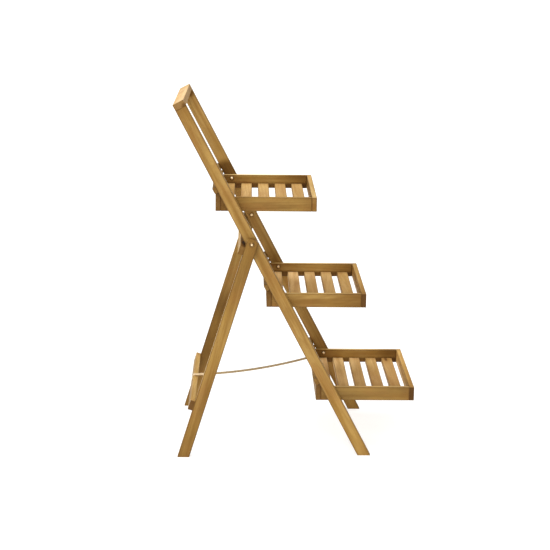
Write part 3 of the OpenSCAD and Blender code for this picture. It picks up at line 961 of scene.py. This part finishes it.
def domed_profile(head_r, recess_r, depth, shaft_r, shaft_l):
    """From the middle of a recess over the dome of the head to the end of the shaft."""
    ball = (head_r ** 2 + HEAD_RISE ** 2) / (2 * HEAD_RISE)

    def rise(r):
        return math.sqrt(ball ** 2 - r ** 2) - ball + HEAD_RISE

    top = rise(recess_r)
    profile = plain((top - depth, 0))
    profile += [(top - depth, recess_r * 0.92, True), (top - 0.0001, recess_r, True)]
    lip = recess_r * 1.12
    for i in range(DOME_STEPS + 1):
        r = lip + (head_r - lip) * i / DOME_STEPS
        profile += plain((rise(r), r))
    return profile + plain((0, shaft_r)) + shaft_end(shaft_r, shaft_l)


def cup_profile(shaft_r, shaft_l):
    """An oval screw head sunk in a cup washer."""
    recess = [(0.0013, 0, False), (0.0013, 0.0018, True), (0.0021, 0.0021, True)]
    washer = plain(
        (0.0022, 0.0024), (0.0021, 0.0030), (0.0018, 0.0034), (0.0014, 0.0035), (0.0014, 0.0038),
        (0.0015, 0.0041), (0.0011, 0.0046), (0.0005, 0.0052), (0.0001, 0.0056), (0, 0.0056),
    )
    return recess + washer + plain((0, shaft_r)) + shaft_end(shaft_r, shaft_l)


def nut_profile(radius, thickness):
    """A thin flanged nut with the bolt's end in its middle."""
    return plain(
        (thickness * 0.80, 0),
        (thickness * 0.80, 0.0030),
        (thickness * 0.35, 0.0036),
        (thickness * 0.95, 0.0042),
        (thickness, 0.0050),
        (thickness * 0.90, 0.0056),
        (thickness * 0.45, 0.0060),
        (thickness * 0.40, radius - 0.0003),
        (thickness * 0.15, radius),
        (0, radius),
        (0, 0),
    )


def turn_on_lathe(mesh, seat, way, profile, outline, rim_radius):
    """Adds one turned solid, whose faces outside rim_radius take the second, darker material, as
    painted shade round a bright middle.
    """
    first = way.orthogonal().normalized()
    second = way.cross(first)
    before, before_radius = None, 0
    for height, radius, recessed in profile:
        middle = seat + way * height
        ring = [mesh.verts.new(middle)] if radius == 0 else []
        for i in range(LATHE_SIDES if radius else 0):
            angle = math.tau * i / LATHE_SIDES
            out = first * math.cos(angle) + second * math.sin(angle)
            r = outline(radius, angle) if recessed else radius
            ring.append(mesh.verts.new(middle + out * r))
        if before:
            # painted shade: faces outside rim_radius take the darker material
            rim_shade = 1 if min(radius, before_radius) >= rim_radius else 0
            for i in range(LATHE_SIDES):
                k = (i + 1) % LATHE_SIDES
                corners = [before[i % len(before)], before[k % len(before)]]
                corners += [ring[k % len(ring)], ring[i % len(ring)]]
                face = mesh.faces.new(list(dict.fromkeys(corners)))
                face.material_index = rim_shade
        before, before_radius = ring, radius


def turned_piece(node, body, solids, outline, bright, dark, rim_radius):
    """A node's turned fasteners as one piece: each has its seat, direction and profile."""
    mesh = bmesh.new()
    for seat, way, profile in solids:
        turn_on_lathe(mesh, seat, way, profile, outline, rim_radius)
    bmesh.ops.recalc_face_normals(mesh, faces=mesh.faces)
    piece = finished(node + "_turned", mesh, bright)
    piece.data.materials.append(dark)
    for face in piece.data.polygons:
        face.use_smooth = True
    piece.data.set_sharp_from_angle(angle=SMOOTH_UP_TO)
    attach(piece, body)
    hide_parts(node)


def lying_along(node, way_of, rise):
    """Seat, direction and shaft length of each solid of a node, for heads of this rise."""
    found = []
    for corners in solids_of(node):
        middle = sum((Vector(c) for c in corners), Vector()) / len(corners)
        way = way_of(middle)
        along = [c.dot(way) for c in corners]
        low, high = min(along), max(along)
        rim = [c for c in corners if c.dot(way) < low + AT_END]
        axis = sum(rim, Vector()) / len(rim)
        found.append((axis + way * (high - rise - axis.dot(way)), way, high - rise - low))
    return found


def outwards(place):
    """The way out to the nearer side of the ladder."""
    return ACROSS if place.y > 0 else -ACROSS


def inwards(place):
    """The way in from the nearer side of the ladder."""
    return -outwards(place)


def make_turned(bright, dark):
    """Leg bolts, shoulder screws, nuts and the strap's screws, turned on the lathe."""
    for node, way_of, head_r, recess_r, depth, shaft_r, rim in (
        ("leg_pivot_bolts", outwards, 0.0075, 0.0024, 0.0016, 0.004, 0.0026),
        ("tray_pivot_screws", inwards, 0.006, 0.0020, 0.0014, 0.003, 0.0040),
    ):
        solids = [
            (seat, way, domed_profile(head_r, recess_r, depth, shaft_r, length))
            for seat, way, length in lying_along(node, way_of, HEAD_RISE)
        ]
        turned_piece(node, "front_frame", solids, hex_outline, bright, dark, rim)

    nuts = [
        (seat - way * length, way, nut_profile(0.0075, length))
        for seat, way, length in lying_along("leg_pivot_nuts", inwards, 0.0)
    ]
    turned_piece("leg_pivot_nuts", "front_frame", nuts, hex_outline, bright, dark, 0.0042)

    for node, body, out in (
        ("strap_screw_front", "front_frame", RAIL_FRONT),
        ("strap_screw_rear", "rear_frame", LEG_BACK),
    ):
        screw = [
            (seat, way, cup_profile(0.00175, length))
            for seat, way, length in lying_along(node, lambda place, out=out: out, CUP_RISE)
        ]
        turned_piece(node, body, screw, cross_outline, bright, dark, 1.0)


# ---- camera, light and floor ----

FLOOR_REACH = 60


def make_camera():
    """The photographer's camera, from its measured place and turn."""
    ahead = Vector((
        math.sin(CAMERA_YAW) * math.cos(CAMERA_PITCH),
        math.cos(CAMERA_YAW) * math.cos(CAMERA_PITCH),
        -math.sin(CAMERA_PITCH),
    ))
    right = ahead.cross(Vector((0, 0, 1))).normalized()
    up = right.cross(ahead)
    rolled_right = right * math.cos(CAMERA_ROLL) + up * math.sin(CAMERA_ROLL)
    rolled_up = up * math.cos(CAMERA_ROLL) - right * math.sin(CAMERA_ROLL)
    data = bpy.data.cameras.new("camera")
    data.lens = CAMERA_LENS
    data.sensor_width = SENSOR
    data.clip_end = FAR
    camera = bpy.data.objects.new("camera", data)
    turn = Matrix((rolled_right, rolled_up, -ahead)).transposed()
    camera.matrix_world = Matrix.Translation(CAMERA_PLACE) @ turn.to_4x4()
    bpy.context.scene.collection.objects.link(camera)
    bpy.context.scene.camera = camera


def make_studio():
    """Soft light from above and from the camera's side, over a pale floor."""
    scene = bpy.context.scene
    scene.view_settings.view_transform = "Standard"
    world = bpy.data.worlds.new("studio")
    world.use_nodes = True
    sky = world.node_tree.nodes["Background"]
    sky.inputs["Color"].default_value = (1.0, 0.99, 0.97, 1.0)
    sky.inputs["Strength"].default_value = 0.50
    scene.world = world

    for name, energy, spread, place in (
        ("overhead", 2.2, 50, (-0.20, -0.05, 0.98)),
        ("camera_side_fill", 2.0, 40, (-0.15, -0.88, 0.42)),
    ):
        light = bpy.data.lights.new(name, "SUN")
        light.energy = energy
        light.angle = math.radians(spread)
        light.color = (1.0, 0.98, 0.95)
        lamp = bpy.data.objects.new(name, light)
        lamp.rotation_euler = Vector(place).to_track_quat("Z", "Y").to_euler()
        scene.collection.objects.link(lamp)

    mesh = bmesh.new()
    bmesh.ops.create_grid(mesh, x_segments=1, y_segments=1, size=FLOOR_REACH)
    floor = finished("floor", mesh, floor_material())


def floor_material():
    """A matt floor so pale that it meets the background without an edge."""
    material, _, shader = new_material("pale_floor")
    shader.inputs["Base Color"].default_value = (0.45, 0.45, 0.45, 1.0)
    shader.inputs["Emission Color"].default_value = (1.0, 1.0, 1.0, 1.0)
    shader.inputs["Emission Strength"].default_value = 0.70
    shader.inputs["Roughness"].default_value = 0.9
    shader.inputs["Specular IOR Level"].default_value = 0.1
    return material


# ---- the dressed ladder ----

make_camera()
paint_boards()
steel = plated_steel(
    "yellow_zinc_steel", colour(248, 232, 202), colour(232, 208, 164), colour(184, 154, 108),
)
# Darker steel: oxidised on the brads, and painted shade on the washers and the outer part of the
# turned heads and nuts
dull_steel = plated_steel(
    "darkened_steel", colour(138, 108, 68), colour(104, 78, 44), colour(66, 48, 28),
)
# The pivot washers take the darker steel, as painted shade round the heads
for node in ("tray_pivot_washers", "leg_pivot_washers"):
    set_material(NODES[node], dull_steel)
make_turned(steel, dull_steel)
make_strap(webbing_material())
make_screws(steel)
make_brads(dull_steel)
make_studio()
